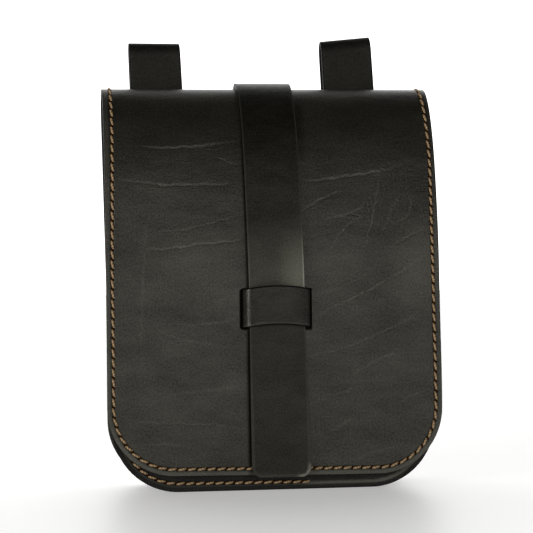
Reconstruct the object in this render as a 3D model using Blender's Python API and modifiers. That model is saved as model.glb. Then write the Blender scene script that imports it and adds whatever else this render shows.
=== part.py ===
"""Leather belt pouch: a flapped bag closed by a strap, with two belt loops behind it.

Metres, +Z up. The front faces -Y and the pouch stands on its bottom edges at z = 0.
Each piece is one closed leather wall. All layers share one side profile, so they nest
with named clearances when any size changes.
"""

import math

import bmesh
import bpy
import numpy as np
from mathutils import Matrix, Vector

for leftover in list(bpy.data.objects):
    bpy.data.objects.remove(leftover, do_unlink=True)

# Leather thicknesses
SHEET_LEATHER = 0.0028
PANEL_LEATHER = 0.0024
GUSSET_LEATHER = 0.0020
STRAP_LEATHER = 0.0030
KEEPER_LEATHER = 0.0024
LOOP_LEATHER = 0.0025

# Clearances
SEAM_GAP = 0.0003
KEEPER_PLAY = 0.0016
KEEPER_LIFT = 0.0004
CUT_EDGE_ROUND = 0.0005

# Side profile of the back panel and flap, to the middle of the leather except HEIGHT
HEIGHT = 0.2185
DEPTH = 0.0480
BACK_REACH = 0.0125
BACK_DROP = 0.0140
FLAP_FULLNESS = 4.2
CROWN = 0.0015
CROWN_RAMP = 0.080

# Flap and body outlines, seen from the front
FLAP_WIDTH = 0.1800
FLAP_FOOT_WIDTH = 0.1812
FLAP_CORNER = 0.0355
FLAP_ABOVE_BASE = 0.0085
FLAP_SKEW = 0.016
BODY_WIDTH = 0.1756
BODY_CORNER = 0.0355
BACK_TAPER_SHARE = 0.5
MOUTH_BELOW_RIDGE = 0.0320

# Gusset channel
FLANGE_WIDTH = 0.0085
FLANGE_SETBACK = 0.0004
GUSSET_FOLD = 0.0026
GUSSET_PINCH = 0.0050
GUSSET_PINCH_SHARE = 0.5

# Closing strap
STRAP_WIDTH = 0.0300
STRAP_CORNER = 0.0055
STRAP_ABOVE_BASE = 0.0075
STRAP_OFFSET = -0.0012
STRAP_DRIFT = 0.0026
STRAP_DRIFT_BEND = 1.4
STRAP_SEWN_BELOW_RIDGE = 0.0620

# Keeper
KEEPER_HEIGHT = 0.0207
KEEPER_ABOVE_BASE = 0.0975
KEEPER_BEND = 0.0034
KEEPER_BOW = 0.0017
FOOT_LENGTH = 0.0080
FOOT_BEND = 0.0018

# Belt loops
LOOP_DEPTH = 0.0105
LOOP_SEAM_END_BELOW_RIDGE = 0.0780
LOOP_SEAM_START_BELOW_RIDGE = 0.0530
LOOP_JOGGLE = 0.0160
LOOP_WIDTH = 0.0286
LOOP_TOP_WIDTH = 0.0272
LEFT_LOOP_INSET = 0.0319
LEFT_LOOP_RISE = 0.0272
RIGHT_LOOP_INSET = 0.0391
RIGHT_LOOP_RISE = 0.0300

# Each loop: name, side, inset of its middle from the flap's edge, rise, lean of its sides, slope of its top
LOOPS = (
    ("belt_loop_left", -1, LEFT_LOOP_INSET, LEFT_LOOP_RISE, -0.040, -0.010),
    ("belt_loop_right", 1, RIGHT_LOOP_INSET, RIGHT_LOOP_RISE, -0.052, 0.050),
)

# Slot cutters and edges: the reach of a cutter beyond the leather, and the most a round takes of a thickness
CUTTER_REACH = 0.0042
ROUND_SHARE = 0.25
CUT_EDGE_ANGLE = math.radians(60)
SMOOTH_ANGLE = math.radians(40)

# Mesh fineness
FINE_STEPS = 240
BACK_ARC_STEPS = 6
FRONT_STEPS = 22
SHEET_COLUMNS = 10
STRAP_COLUMNS = 4
KEEPER_ROWS = 4
LOOP_COLUMNS = 2
GUSSET_STEPS = 4
CORNER_STEPS = 7
BEND_STEPS = 4
JOGGLE_STEPS = 6
LOOP_ARC_STEPS = 10
SHORTEST_ROW = 0.0012

# Lifts of each layer from the middle of the flap's leather, outward positive
FLAP_CLEARANCE = KEEPER_LEATHER + 2 * SEAM_GAP
STRAP_LIFT = SHEET_LEATHER / 2 + SEAM_GAP + STRAP_LEATHER / 2
KEEPER_TOP_LIFT = STRAP_LIFT + STRAP_LEATHER / 2 + KEEPER_LIFT + KEEPER_LEATHER / 2
KEEPER_FOOT_LIFT = -(SHEET_LEATHER / 2 + SEAM_GAP + KEEPER_LEATHER / 2)
PANEL_LIFT = -(SHEET_LEATHER / 2 + FLAP_CLEARANCE + PANEL_LEATHER / 2)
FRONT_FLANGE_LIFT = PANEL_LIFT - PANEL_LEATHER / 2 - SEAM_GAP - GUSSET_LEATHER / 2
BACK_FLANGE_Y = -(SHEET_LEATHER / 2 + SEAM_GAP + GUSSET_LEATHER / 2)
KEEPER_HALF_SPAN = STRAP_WIDTH / 2 + KEEPER_PLAY + KEEPER_LEATHER / 2

# Leather colours (linear) and roughness
BLACK_LEATHER = (0.022, 0.021, 0.018)
LEATHER_ROUGHNESS = 0.55


def front_point(share):
    """Middle of the flap's leather, from the ridge (share 0) to the base (share 1)."""
    ridge = HEIGHT - SHEET_LEATHER / 2
    height = 1 - share ** 2
    forward = math.sqrt(1 - height ** FLAP_FULLNESS)
    return -BACK_REACH - (DEPTH - BACK_REACH) * forward, ridge * height


def back_point(turn):
    """Middle of the leather on the back arc, from the ridge (turn 0) to upright (turn 1)."""
    ridge = HEIGHT - SHEET_LEATHER / 2
    angle = turn * math.pi / 2
    return -BACK_REACH * (1 - math.sin(angle)), ridge - BACK_DROP * (1 - math.cos(angle))


def side_profile():
    """Points up the back, over the ridge and down the front, with their distance from the ridge."""
    arc_foot = back_point(1)[1]
    points = [(0.0, arc_foot * step / FINE_STEPS) for step in range(FINE_STEPS)]
    points += [back_point(1 - step / FINE_STEPS) for step in range(FINE_STEPS)]
    points += [front_point(step / FINE_STEPS) for step in range(FINE_STEPS + 1)]
    points = np.array(points)
    steps = np.hypot(*np.diff(points, axis=0).T)
    distances = np.concatenate(([0.0], np.cumsum(steps)))
    distances -= distances[2 * FINE_STEPS]
    along = np.gradient(points, distances, axis=0)
    along /= np.hypot(*along.T)[:, None]
    return points, distances, along


PROFILE, DISTANCES, ALONG = side_profile()
BACK_END = DISTANCES[0]
BACK_ARC_END = DISTANCES[FINE_STEPS]
BASE_END = DISTANCES[-1]
FLAP_END = BASE_END - FLAP_ABOVE_BASE
STRAP_END = BASE_END - STRAP_ABOVE_BASE
SHEET_WIDTH_ROWS = (BACK_END * BACK_TAPER_SHARE, 0.0, FLAP_END)
STRAP_START = BACK_ARC_END + BACK_DROP - STRAP_SEWN_BELOW_RIDGE
KEEPER_MIDDLE = BASE_END - KEEPER_ABOVE_BASE
MOUTH = float(np.interp(MOUTH_BELOW_RIDGE - HEIGHT, -PROFILE[2 * FINE_STEPS:, 1], DISTANCES[2 * FINE_STEPS:]))


def on_profile(x, distance, lift):
    """Place a point across the pouch, along its side profile and lifted outward from it."""
    y, z = (np.interp(distance, DISTANCES, PROFILE[:, axis]) for axis in range(2))
    run_y, run_z = (np.interp(distance, DISTANCES, ALONG[:, axis]) for axis in range(2))
    ramp = min(max(distance / CROWN_RAMP, 0.0), 1.0)
    crown = CROWN * (1 - (2 * x / FLAP_WIDTH) ** 2) * ramp * ramp * (3 - 2 * ramp)
    return Vector((x, y + lift * run_z - crown, z - lift * run_y))


def shared_rows():
    """Distances of the cross rows that every layer uses, closest together over the ridge."""
    rows = [BACK_ARC_END * (1 - step / BACK_ARC_STEPS) for step in range(BACK_ARC_STEPS)]
    fine = [FINE_STEPS * step / FRONT_STEPS for step in range(FRONT_STEPS + 1)]
    rows += list(np.interp(fine, range(FINE_STEPS + 1), DISTANCES[2 * FINE_STEPS:]))
    return rows


SHARED_ROWS = shared_rows()


def rows_between(start, end):
    """The shared rows between two distances, with the two ends added."""
    inside = [row for row in SHARED_ROWS if start + SHORTEST_ROW < row < end - SHORTEST_ROW]
    return [start] + inside + [end]


def corner_rows(end, radius, direction):
    """Rows round an end's corners: direction 1 towards the front base, -1 towards the back base."""
    turns = [math.pi / 2 * step / CORNER_STEPS for step in range(1, CORNER_STEPS + 1)]
    return [end - direction * radius * (1 - math.sin(turn)) for turn in turns]


def rounded_half_width(width, beyond, radius):
    """Half the width of an outline that lies a distance beyond the start of its corners."""
    if beyond <= 0:
        return width / 2
    return width / 2 - radius + math.sqrt(max(radius ** 2 - beyond ** 2, 0.0))


def leather(name):
    """Principled material of one piece."""
    material = bpy.data.materials.new(name + "_leather")
    material.use_nodes = True
    shader = material.node_tree.nodes["Principled BSDF"]
    shader.inputs["Base Color"].default_value = (*BLACK_LEATHER, 1.0)
    shader.inputs["Roughness"].default_value = LEATHER_ROUGHNESS
    shader.inputs["Metallic"].default_value = 0.0
    return material


def new_collection(name):
    collection = bpy.data.collections.new(name)
    bpy.context.scene.collection.children.link(collection)
    return collection


PARTS = new_collection("belt_pouch")
CUTTERS = new_collection("cutters")
POUCH = bpy.data.objects.new("pouch", None)
PARTS.objects.link(POUCH)


def wall(name, columns, rows, place, thickness):
    """A leather piece: an open grid put in place by place(column, row), made a wall by Solidify."""
    mesh = bpy.data.meshes.new(name)
    cage = bmesh.new()
    bmesh.ops.create_grid(cage, x_segments=len(columns) - 1, y_segments=len(rows) - 1, size=0.5)
    for corner in cage.verts:
        column = columns[round((corner.co.x + 0.5) * (len(columns) - 1))]
        row = rows[round((corner.co.y + 0.5) * (len(rows) - 1))]
        corner.co = place(column, row)
    cage.to_mesh(mesh)
    cage.free()
    mesh.shade_smooth()
    mesh.set_sharp_from_angle(angle=SMOOTH_ANGLE)
    mesh.materials.append(leather(name))
    piece = bpy.data.objects.new(name, mesh)
    piece.parent = POUCH
    PARTS.objects.link(piece)
    solid = piece.modifiers.new("thickness", "SOLIDIFY")
    solid.thickness = thickness
    solid.offset = 0.0
    solid.use_even_offset = True
    edge = piece.modifiers.new("cut_edge", "BEVEL")
    edge.width = min(CUT_EDGE_ROUND, ROUND_SHARE * thickness)
    edge.segments = 1
    edge.limit_method = "ANGLE"
    edge.angle_limit = CUT_EDGE_ANGLE
    return piece


def spread(count):
    """Shares from -1 to 1 across a piece."""
    return [2 * step / count - 1 for step in range(count + 1)]


def back_and_flap():
    """One sheet: the back panel, the fold over the top and the flap, rounded at both ends."""

    def place(share, row):
        width = np.interp(row, SHEET_WIDTH_ROWS, (BODY_WIDTH, FLAP_WIDTH, FLAP_FOOT_WIDTH))
        if row < 0:
            half = rounded_half_width(width, BACK_END + BODY_CORNER - row, BODY_CORNER)
        else:
            half = rounded_half_width(width, row - FLAP_END + FLAP_CORNER, FLAP_CORNER)
        x = share * half
        skew = FLAP_SKEW * x * max(row, 0.0) / FLAP_END
        return on_profile(x, row + skew, 0.0)

    rows = corner_rows(BACK_END, BODY_CORNER, -1)[::-1]
    rows += rows_between(BACK_END + BODY_CORNER, FLAP_END - FLAP_CORNER)
    rows += corner_rows(FLAP_END, FLAP_CORNER, 1)
    return wall("back_and_flap", spread(SHEET_COLUMNS), rows, place, SHEET_LEATHER)


def front_panel():
    """Front wall of the bag, inside the flap, open at its straight top edge."""

    def place(share, row):
        x = share * rounded_half_width(BODY_WIDTH, row - BASE_END + BODY_CORNER, BODY_CORNER)
        return on_profile(x, row, PANEL_LIFT)

    rows = rows_between(MOUTH, BASE_END - BODY_CORNER) + corner_rows(BASE_END, BODY_CORNER, 1)
    return wall("front_panel", spread(SHEET_COLUMNS), rows, place, PANEL_LEATHER)


def body_outline():
    """U-shaped outline of the body from mouth to mouth: place and inward direction of each station."""
    reach = BODY_WIDTH / 2 - BODY_CORNER
    centre = BASE_END - BODY_CORNER
    side = [(BODY_WIDTH / 2, row, -1.0, 0.0) for row in rows_between(MOUTH, centre)]
    for step in range(1, CORNER_STEPS + 1):
        out_x = math.cos(math.pi / 2 * step / CORNER_STEPS)
        out_down = math.sin(math.pi / 2 * step / CORNER_STEPS)
        side.append((reach + BODY_CORNER * out_x, centre + BODY_CORNER * out_down, -out_x, -out_down))
    mirrored = [(-x, row, -inward_x, inward_row) for x, row, inward_x, inward_row in side]
    return mirrored + [(0.0, BASE_END, 0.0, -1.0)] + side[::-1]


def gusset_section():
    """Across the channel: inset from the outline, share of the depth, and distance from that side."""
    fold = [(FLANGE_SETBACK, 0.0)]
    for step in range(BEND_STEPS + 1):
        angle = math.pi / 2 * step / BEND_STEPS
        inset = FLANGE_WIDTH - GUSSET_FOLD * (1 - math.sin(angle))
        fold.append((inset, GUSSET_FOLD * (1 - math.cos(angle))))
    back = [(inset, 0.0, depth) for inset, depth in fold]
    middle = [(FLANGE_WIDTH, step / GUSSET_STEPS, 0.0) for step in range(1, GUSSET_STEPS)]
    front = [(inset, 1.0, -depth) for inset, depth in fold[::-1]]
    return back + middle + front


def gusset():
    """Sides and bottom in one channel, its flanges turned outward and sewn to both panels."""

    def place(section, station):
        inset, share, depth = section
        x, row, inward_x, inward_row = station
        upper = max(0.0, 1 - (row - MOUTH) / ((BASE_END - MOUTH) * GUSSET_PINCH_SHARE))
        inset += GUSSET_PINCH * math.sin(math.pi * share) * upper ** 2
        x += inset * inward_x
        front = on_profile(x, row + inset * inward_row, FRONT_FLANGE_LIFT)
        y = BACK_FLANGE_Y + (front.y - BACK_FLANGE_Y) * share - depth
        return Vector((x, y, front.z))

    return wall("gusset", gusset_section(), body_outline(), place, GUSSET_LEATHER)


def strap_middle(row):
    """Middle line of the strap, which drifts sideways on its way down the flap."""
    return STRAP_OFFSET + STRAP_DRIFT * max(row / STRAP_END, 0.0) ** STRAP_DRIFT_BEND


def closing_strap():
    """Strap sewn to the back, laid over the ridge and down the flap, with rounded ends."""

    def place(share, row):
        beyond = max(row - STRAP_END, STRAP_START - row) + STRAP_CORNER
        x = share * rounded_half_width(STRAP_WIDTH, beyond, STRAP_CORNER)
        return on_profile(x + strap_middle(row), row, STRAP_LIFT)

    rows = corner_rows(STRAP_START, STRAP_CORNER, -1)[::-1]
    rows += rows_between(STRAP_START + STRAP_CORNER, STRAP_END - STRAP_CORNER)
    rows += corner_rows(STRAP_END, STRAP_CORNER, 1)
    return wall("closing_strap", spread(STRAP_COLUMNS), rows, place, STRAP_LEATHER)


def keeper_section():
    """Half of the keeper across the strap: x and lift, from the tip of its foot to its middle."""
    side = KEEPER_HALF_SPAN
    points = [(side - FOOT_BEND - FOOT_LENGTH, KEEPER_FOOT_LIFT)]
    for step in range(BEND_STEPS + 1):
        angle = math.pi / 2 * step / BEND_STEPS
        points.append((side - FOOT_BEND * (1 - math.sin(angle)),
                       KEEPER_FOOT_LIFT + FOOT_BEND * (1 - math.cos(angle))))
    for step in range(BEND_STEPS + 1):
        angle = math.pi / 2 * step / BEND_STEPS
        points.append((side - KEEPER_BEND * (1 - math.cos(angle)),
                       KEEPER_TOP_LIFT - KEEPER_BEND * (1 - math.sin(angle))))
    points.append(((side - KEEPER_BEND) / 2, KEEPER_TOP_LIFT))
    return points


def strap_keeper():
    """Leather bridge over the strap, its legs through the flap and its feet sewn behind it."""

    def place(section, share):
        x, lift = section
        bow = KEEPER_BOW * (1 - (x / KEEPER_HALF_SPAN) ** 2) if lift > 0 else 0.0
        row = KEEPER_MIDDLE + share * KEEPER_HEIGHT / 2 - bow
        return on_profile(x + strap_middle(KEEPER_MIDDLE), row, lift)

    half = keeper_section()
    section = half + [(0.0, KEEPER_TOP_LIFT)] + [(-x, lift) for x, lift in half[::-1]]
    return wall("strap_keeper", section, spread(KEEPER_ROWS), place, KEEPER_LEATHER)


def cut_slot(sheet, side):
    """Slot through the flap for one of the keeper's legs."""
    lean = np.interp(KEEPER_MIDDLE, DISTANCES, ALONG[:, 0])
    x = strap_middle(KEEPER_MIDDLE) + side * KEEPER_HALF_SPAN
    bpy.ops.mesh.primitive_cube_add(size=1)
    slot = bpy.context.object
    slot.name = "slot_cutter_" + ("right" if side > 0 else "left")
    size = (KEEPER_LEATHER + 2 * SEAM_GAP, SHEET_LEATHER + 2 * CUTTER_REACH, KEEPER_HEIGHT + 2 * SEAM_GAP)
    slot.data.transform(Matrix.Diagonal((*size, 1)))
    slot.rotation_euler.x = math.asin(lean)
    slot.location = on_profile(x, KEEPER_MIDDLE, 0.0)
    slot.parent = POUCH
    slot.hide_render = True
    slot.display_type = "WIRE"
    for collection in list(slot.users_collection):
        collection.objects.unlink(slot)
    CUTTERS.objects.link(slot)
    cut = sheet.modifiers.new(slot.name, "BOOLEAN")
    cut.operation = "DIFFERENCE"
    cut.object = slot


def loop_path():
    """A belt loop from the side: up against the back panel, folded over, down and sewn to itself."""
    near = SHEET_LEATHER / 2 + SEAM_GAP + LOOP_LEATHER / 2
    sewn = near + LOOP_LEATHER + SEAM_GAP
    radius = (LOOP_DEPTH - LOOP_LEATHER) / 2
    seam_end = HEIGHT - LOOP_SEAM_END_BELOW_RIDGE
    seam_start = HEIGHT - LOOP_SEAM_START_BELOW_RIDGE
    centre = HEIGHT - LOOP_LEATHER / 2 - radius
    straight = seam_start + LOOP_JOGGLE
    points = [(near, seam_end), (near, seam_start), (near, straight), (near, (straight + centre) / 2)]
    for step in range(LOOP_ARC_STEPS + 1):
        angle = math.pi * step / LOOP_ARC_STEPS
        points.append((near + radius * (1 - math.cos(angle)), centre + radius * math.sin(angle)))
    points.append((near + 2 * radius, (straight + centre) / 2))
    for step in range(JOGGLE_STEPS + 1):
        share = step / JOGGLE_STEPS
        depth = sewn + (near + 2 * radius - sewn) * (1 + math.cos(math.pi * share)) / 2
        points.append((depth, straight - LOOP_JOGGLE * share))
    points.append((sewn, seam_end))
    return points


def belt_loop(name, side, inset, rise, lean, slope):
    """One belt loop, raised to its height above the ridge, with its own lean and sloping top."""
    middle = side * (FLAP_WIDTH / 2 - inset)
    seam_start = HEIGHT - LOOP_SEAM_START_BELOW_RIDGE

    def place(share, point):
        y, z = point
        above = max(z - seam_start, 0.0)
        up = above / LOOP_SEAM_START_BELOW_RIDGE
        x = share * (LOOP_WIDTH + (LOOP_TOP_WIDTH - LOOP_WIDTH) * min(up, 1.0)) / 2
        z += up * (rise + slope * x)
        return Vector((middle + x + lean * (z - HEIGHT), y, z))

    return wall(name, spread(LOOP_COLUMNS), loop_path(), place, LOOP_LEATHER)


def stand_over_origin():
    """Move the finished pouch so that the middle of its box is over the origin."""
    bpy.context.view_layer.update()
    graph = bpy.context.evaluated_depsgraph_get()
    corners = []
    for piece in PARTS.objects:
        if piece.type == "MESH":
            shape = piece.evaluated_get(graph)
            corners += [shape.matrix_world @ Vector(corner) for corner in shape.bound_box]
    for axis in range(2):
        values = [corner[axis] for corner in corners]
        POUCH.location[axis] = -(min(values) + max(values)) / 2
    bpy.context.view_layer.update()


flap_sheet = back_and_flap()
cut_slot(flap_sheet, -1)
cut_slot(flap_sheet, 1)
front_panel()
gusset()
closing_strap()
strap_keeper()
for loop_row in LOOPS:
    belt_loop(*loop_row)
stand_over_origin()
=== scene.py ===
import math

import bpy
import numpy as np
from mathutils import Matrix, Vector


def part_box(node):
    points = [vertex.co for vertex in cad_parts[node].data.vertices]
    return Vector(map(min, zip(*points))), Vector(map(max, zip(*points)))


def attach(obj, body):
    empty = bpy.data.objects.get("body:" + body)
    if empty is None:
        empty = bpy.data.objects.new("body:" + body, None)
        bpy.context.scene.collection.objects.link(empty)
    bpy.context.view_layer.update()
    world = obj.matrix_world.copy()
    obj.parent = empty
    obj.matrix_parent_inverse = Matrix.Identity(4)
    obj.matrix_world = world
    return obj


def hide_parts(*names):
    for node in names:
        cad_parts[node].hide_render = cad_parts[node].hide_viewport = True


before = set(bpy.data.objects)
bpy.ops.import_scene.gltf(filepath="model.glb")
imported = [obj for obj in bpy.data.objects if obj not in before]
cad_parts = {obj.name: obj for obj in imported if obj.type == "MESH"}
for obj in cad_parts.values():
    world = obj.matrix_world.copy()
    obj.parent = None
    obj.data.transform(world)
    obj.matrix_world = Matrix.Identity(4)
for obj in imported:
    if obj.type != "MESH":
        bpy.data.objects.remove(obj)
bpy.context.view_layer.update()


# Camera
# It stands a metre in front of the flap, a little to its left and level with its middle, as in the photo.
# A long lens keeps the sides straight, and the slight roll is that of a camera held by hand.
AZIMUTH = math.radians(-8.046)
ELEVATION = math.radians(-0.316)
ROLL = math.radians(0.68)
CAMERA_DISTANCE = 1.0112
AIM = Vector((-0.00188, -0.00782, 0.12008))
LENS_MM = 125.1
SENSOR_MM = 36.0

right = Vector((math.cos(AZIMUTH), math.sin(AZIMUTH), 0.0))
back = Vector((math.sin(AZIMUTH) * math.cos(ELEVATION), -math.cos(AZIMUTH) * math.cos(ELEVATION),
               math.sin(ELEVATION)))
up = back.cross(right)
camera_right = right * math.cos(ROLL) - up * math.sin(ROLL)
camera_up = right * math.sin(ROLL) + up * math.cos(ROLL)
camera_data = bpy.data.cameras.new("camera")
camera_data.lens = LENS_MM
camera_data.sensor_width = SENSOR_MM
camera = bpy.data.objects.new("camera", camera_data)
camera.matrix_world = (Matrix.Translation(AIM + back * CAMERA_DISTANCE)
                       @ Matrix((camera_right, camera_up, back)).transposed().to_4x4())
bpy.context.scene.collection.objects.link(camera)
bpy.context.scene.camera = camera


# Floor and studio light
# A plain pale floor: a light table of opal acrylic, as product photos use, which glows softly. Pale walls
# stand all round under a dark ceiling panel, with a lit backdrop behind and softboxes in front and at the left.
FLOOR_SIZE = 24.0
FLOOR_GLOW = 0.33
WALL_LIGHT = 0.38
PANEL_LIGHT = 0.03
BACKDROP_LIGHT = 1.55
BACKDROP_CORE = math.radians(20)
BACKDROP_REACH = math.radians(84)
PANEL_HEIGHT = math.radians(75)
PANEL_CORE = math.radians(38)
PANEL_REACH = math.radians(76)


def srgb(code):
    """Linear colour of an sRGB hex code."""
    shares = [int(code[place:place + 2], 16) / 255 for place in (0, 2, 4)]
    linear = [share / 12.92 if share <= 0.04045 else ((share + 0.055) / 1.055) ** 2.4 for share in shares]
    return linear + [1.0]


def put(tree, kind, settings, inputs):
    """Add a shader node with its own settings. An input is a value, or a node or socket to link."""
    shader_node = tree.nodes.new("ShaderNode" + kind)
    for name, value in settings.items():
        setattr(shader_node, name, value)
    for key, value in inputs.items():
        if isinstance(value, bpy.types.Node):
            value = next(socket for socket in value.outputs if socket.enabled)
        if isinstance(value, bpy.types.NodeSocket):
            tree.links.new(value, shader_node.inputs[key])
        else:
            shader_node.inputs[key].default_value = value
    return shader_node


def new_material(name):
    """An empty material with its shader."""
    material = bpy.data.materials.new(name)
    material.use_nodes = True
    return material, material.node_tree, material.node_tree.nodes["Principled BSDF"]


def softbox(name, place, target, size, power):
    """A square area light that faces its target."""
    light = bpy.data.lights.new(name, "AREA")
    light.size = size
    light.energy = power
    lamp = bpy.data.objects.new(name, light)
    lamp.location = place
    lamp.rotation_euler = (Vector(target) - Vector(place)).to_track_quat("-Z", "Y").to_euler()
    bpy.context.scene.collection.objects.link(lamp)


bpy.ops.object.select_all(action="DESELECT")
bpy.ops.mesh.primitive_plane_add(size=FLOOR_SIZE)
floor = bpy.context.object
floor.name = "studio_floor"
opal, opal_tree, opal_shader = new_material("satin_opal_acrylic")
floor_place = put(opal_tree, "TexCoord", {}, {})
floor_mottle = put(opal_tree, "TexNoise", {},
                   {"Vector": floor_place.outputs["Object"], "Scale": 3.0, "Detail": 4.0})
floor_colour = put(opal_tree, "Mix", {"data_type": "RGBA"},
                   {0: floor_mottle, 6: srgb("E9E8E6"), 7: srgb("EFEEEC")})
opal_tree.links.new(floor_colour.outputs[2], opal_shader.inputs["Base Color"])
opal_shader.inputs["Roughness"].default_value = 0.45
opal_shader.inputs["Emission Color"].default_value = srgb("FFFFFF")
opal_shader.inputs["Emission Strength"].default_value = FLOOR_GLOW
floor.data.materials.append(opal)

world = bpy.data.worlds.new("studio")
world.use_nodes = True
bpy.context.scene.world = world
world_tree = world.node_tree
looking = put(world_tree, "TexCoord", {}, {})
to_panel = put(world_tree, "VectorMath", {"operation": "DOT_PRODUCT"},
               {0: looking.outputs["Generated"], 1: (0.0, -math.cos(PANEL_HEIGHT), math.sin(PANEL_HEIGHT))})
room_light = put(world_tree, "MapRange", {"interpolation_type": "SMOOTHSTEP"},
                 {"Value": to_panel, "From Min": math.cos(PANEL_REACH), "From Max": math.cos(PANEL_CORE),
                  "To Min": WALL_LIGHT, "To Max": PANEL_LIGHT})
to_backdrop = put(world_tree, "VectorMath", {"operation": "DOT_PRODUCT"},
                  {0: looking.outputs["Generated"], 1: (0.0, 1.0, 0.0)})
backdrop_light = put(world_tree, "MapRange", {"interpolation_type": "SMOOTHSTEP"},
                     {"Value": to_backdrop, "From Min": math.cos(BACKDROP_REACH),
                      "From Max": math.cos(BACKDROP_CORE), "To Min": 0.0, "To Max": BACKDROP_LIGHT})
all_light = put(world_tree, "Math", {"operation": "ADD"}, {0: room_light, 1: backdrop_light})
world_tree.links.new(all_light.outputs[0], world_tree.nodes["Background"].inputs["Strength"])
world_tree.nodes["Background"].inputs["Color"].default_value = srgb("FFFFFF")
softbox("left_softbox", (-1.7, -1.25, 0.45), (0.0, 0.0, 0.12), 0.6, 18.0)
softbox("front_softbox", (0.42, -2.9, 0.58), (0.0, 0.0, 0.12), 0.8, 6.0)
bpy.context.scene.view_settings.view_transform = "Standard"


# Back panel and flap
# One sheet of waxed black cow leather, 2.8 mm thick, is the back, the fold over the top and the flap. Its cut
# edges are rounded and dyed, and a tan stitch in a pressed groove runs all the way round it.
SHEET_LEATHER = 0.0028
HEIGHT = 0.2185
DEPTH = 0.0480
BACK_REACH = 0.0125
BACK_DROP = 0.0140
FLAP_FULLNESS = 4.2
CROWN = 0.0015
CROWN_RAMP = 0.080
FLAP_WIDTH = 0.1800
FLAP_FOOT_WIDTH = 0.1812
CORNER = 0.0355
FLAP_ABOVE_BASE = 0.0085
FLAP_SKEW = 0.016
BODY_WIDTH = 0.1756
BACK_TAPER_SHARE = 0.5
# The soft waves of the hanging flap
SAG = 0.0006
SAG_SPAN = 0.085
SAG_LEAN = 2.2
SAG_CROSS = 0.4
# The mesh
PROFILE_STEPS = 240
SHEET_STEP = 0.0018
FOLD_STEP = 0.0013
FOLD_SPAN = 0.034
CORNER_STEPS = 22
# The cut edge, the creases, the painted highlights along the edge, and the painted shadow beside the strap
EDGE_ROUND = 0.00065
EDGE_SEGMENTS = 3
EDGE_MARGIN = 0.0035
EDGE_HIGHLIGHT = 0.16
EDGE_HIGHLIGHT_BAND = (0.0034, 0.0024)
CREASE_STEPS = 81
CREASE_FADE = 3
CREASE_BAND = (0.0032, 0.0015)
# A nearly black band painted on the flap beside the strap's left edge, as a painted shadow
STRAP_SHADOW_ROWS = (0.02, 0.06)
STRAP_SHADOW_GROWTH_ROWS = (0.08, 0.18)
STRAP_SHADOW_BAND = 0.0015
STRAP_SHADOW_BAND_GROWTH = 0.0009
STRAP_SHADOW_STRENGTH = 0.55
STRAP_SHADOW_STRENGTH_GROWTH = 0.30
# The stitches and the line they follow
STITCH_PITCH = 0.00524
STITCH_LENGTH = 0.0050
STITCH_WIDTH = 0.0012
STITCH_HEIGHT = 0.0011
STITCH_SLANT = math.radians(13)
STITCH_RISE = 0.22
STITCH_DIVE = 0.75
SEAM_STEP = 0.0005
SEAM_TURNS = 120
POINTS_AT_ONCE = 2000
# The strap's run down the flap, which the painted shadow beside it follows
STRAP_WIDTH = 0.0300
STRAP_OFFSET = -0.0012
STRAP_DRIFT = 0.0030
STRAP_DRIFT_BEND = 1.4
STRAP_ABOVE_BASE = 0.0075
STRAP_FLARE = 0.0009
STRAP_FLARE_START = 0.130

RIDGE = HEIGHT - SHEET_LEATHER / 2
BACK_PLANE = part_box("back_and_flap")[1][1] - SHEET_LEATHER / 2


def path_of(points):
    """A flat path: its points, their distances along it and its directions."""
    points = np.array(points, dtype=float)
    distances = np.concatenate(([0.0], np.cumsum(np.hypot(*np.diff(points, axis=0).T))))
    directions = np.gradient(points, distances, axis=0)
    return points, distances, directions / np.hypot(*directions.T)[:, None]


def beside(path, distance, lift):
    """The two coordinates of points at a distance along a path, lifted to the right of its run."""
    points, distances, directions = path
    first, second = (np.interp(distance, distances, points[:, axis]) for axis in range(2))
    run_first, run_second = (np.interp(distance, distances, directions[:, axis]) for axis in range(2))
    return first + lift * run_second, second - lift * run_first


def side_profile():
    """The side view of the sheet: up the back, over the ridge and down the front, zero at the ridge."""
    share = np.linspace(0.0, 1.0, PROFILE_STEPS + 1)
    fall = 1 - share ** 2
    forward = np.sqrt(1 - fall ** FLAP_FULLNESS)
    front = np.stack((-BACK_REACH - (DEPTH - BACK_REACH) * forward, RIDGE * fall), axis=1)
    turn = share[::-1] * math.pi / 2
    arc = np.stack((-BACK_REACH * (1 - np.sin(turn)), RIDGE - BACK_DROP * (1 - np.cos(turn))), axis=1)
    straight = np.stack((np.zeros_like(share), arc[0, 1] * share), axis=1)
    points, distances, directions = path_of(np.concatenate((straight[:-1], arc[:-1], front)))
    return points, distances - distances[2 * PROFILE_STEPS], directions


PROFILE = side_profile()
BACK_END = PROFILE[1][0]
BASE_END = PROFILE[1][-1]
FLAP_END = BASE_END - FLAP_ABOVE_BASE
STRAP_END = BASE_END - STRAP_ABOVE_BASE


def smooth(values, start, end):
    """0 before start, 1 after end, and an even ramp between them."""
    share = np.clip((values - start) / (end - start), 0.0, 1.0)
    return share * share * (3 - 2 * share)


def on_profile(x, distance, lift):
    """Points across the pouch, along the side profile and lifted outward from it."""
    y, z = beside(PROFILE, distance, lift)
    crown = CROWN * (1 - (2 * x / FLAP_WIDTH) ** 2) * smooth(distance, 0.0, CROWN_RAMP)
    return np.stack((x + 0 * y, BACK_PLANE + y - crown, z), axis=-1)


def on_flap(x, distance, lift):
    """As on_profile, with the soft waves of a hanging flap, which fade out at the fold."""
    down = np.sin(2 * math.pi * (distance / SAG_SPAN + SAG_LEAN * x))
    across = np.sin(2 * math.pi * (x - SAG_CROSS * distance) / SAG_SPAN)
    ramp = smooth(distance, CROWN_RAMP / 2, 1.5 * CROWN_RAMP)
    return on_profile(x, distance, lift + SAG * (down + across) * ramp)


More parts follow.
